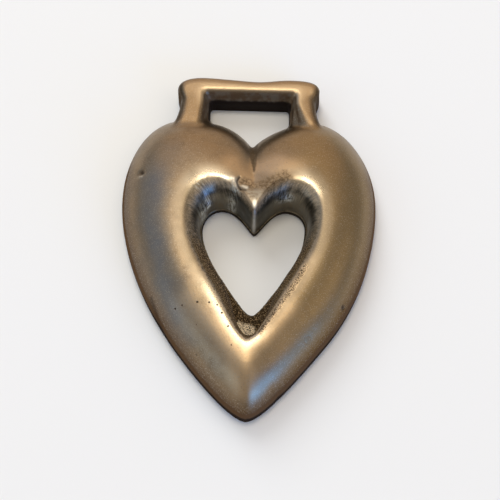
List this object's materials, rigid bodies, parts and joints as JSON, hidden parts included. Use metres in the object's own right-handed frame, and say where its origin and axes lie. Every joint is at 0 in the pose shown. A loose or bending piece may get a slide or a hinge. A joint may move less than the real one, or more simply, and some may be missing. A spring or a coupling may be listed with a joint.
{
  "type": "horse brass",
  "caption": "Heart-shaped cast brass with a raised, hollow-backed rim round a heart opening, and a strap loop with a slot on top.",
  "frame": {"origin": "on the surface that the brass lies on, under the middle of its bounding box", "axes": "+Z out of the front face, +Y from the heart's tip towards the strap loop, +X to the right seen from the front"},
  "size_m": [0.0604, 0.0864, 0.011],
  "materials": {
    "brass": "worn, softly polished aged brass with dark patina in the dish and on the sides"
  },
  "bodies": {
    "root": {"horse_brass": "brass"}
  },
  "joints": []
}
